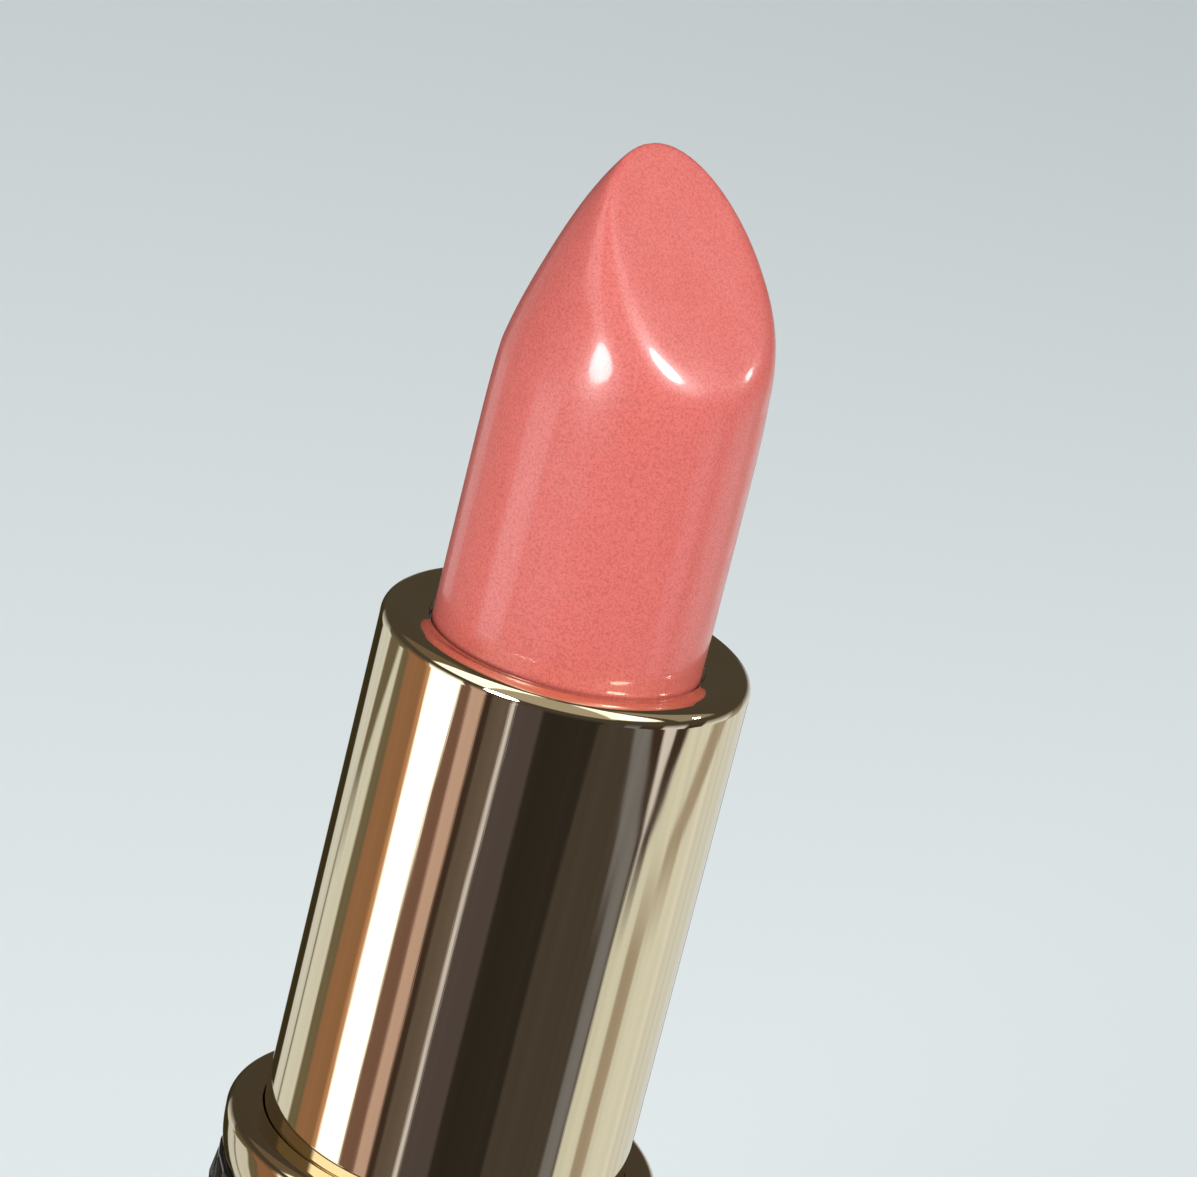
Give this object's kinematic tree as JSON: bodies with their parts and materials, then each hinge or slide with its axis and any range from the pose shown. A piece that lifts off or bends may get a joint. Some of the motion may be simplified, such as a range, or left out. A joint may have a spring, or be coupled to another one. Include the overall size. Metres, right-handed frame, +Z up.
{
  "type": "lipstick case",
  "caption": "Twist-up lipstick case: mirror-metal tube turning in a black diamond-cut base with a gold collar, and a slanted bullet that rises and falls.",
  "frame": {"origin": "centre of the base's underside, on the surface that the case stands on", "axes": "+Z up along the tube's axis; the slanted face of the bullet looks towards +X and -Y"},
  "size_m": [0.0198, 0.0198, 0.0743],
  "materials": {
    "black_gloss": "glossy black moulding with sharp diamond-cut facets",
    "black_inner": "plain black inner moulding",
    "weight_steel": "turned and tumbled steel slug",
    "foam_pad": "thin self-adhesive foam",
    "label_paper": "blank satin sticker",
    "gold_collar": "mirror-polished pale gold",
    "gold_tube": "mirror-polished pale gold anodised tube",
    "white_plastic": "natural white acetal moulding",
    "cup_plastic": "smooth white moulding",
    "silicone": "translucent silicone with a film of grease",
    "lipstick_wax": "satin coral wax with a soft sheen"
  },
  "bodies": {
    "base": {"base_shell": "black_gloss", "base_liner": "black_inner", "base_weight": "weight_steel", "weight_pad": "foam_pad", "base_plug": "black_gloss", "shade_label": "label_paper", "trim_collar": "gold_collar", "inner_fork": "white_plastic", "friction_ring": "silicone"},
    "twist_tube": {"outer_tube": "gold_tube", "spiral_sleeve": "white_plastic"},
    "carrier": {"bullet_cup": "cup_plastic", "bullet": "lipstick_wax"}
  },
  "joints": [
    {"name": "tube_twist", "type": "hinge", "parent": "base", "child": "twist_tube", "pos_m": [0, 0, 0], "axis": [0, 0, 1], "range_deg": [0, 585]},
    {"name": "bullet_travel", "type": "slide", "parent": "base", "child": "carrier", "axis": [0, 0, 1], "range_m": [-0.0234, 0]}
  ],
  "couplings": [
    {"joint": "bullet_travel", "follows": "tube_twist", "m_per_rad": -0.0022918}
  ]
}
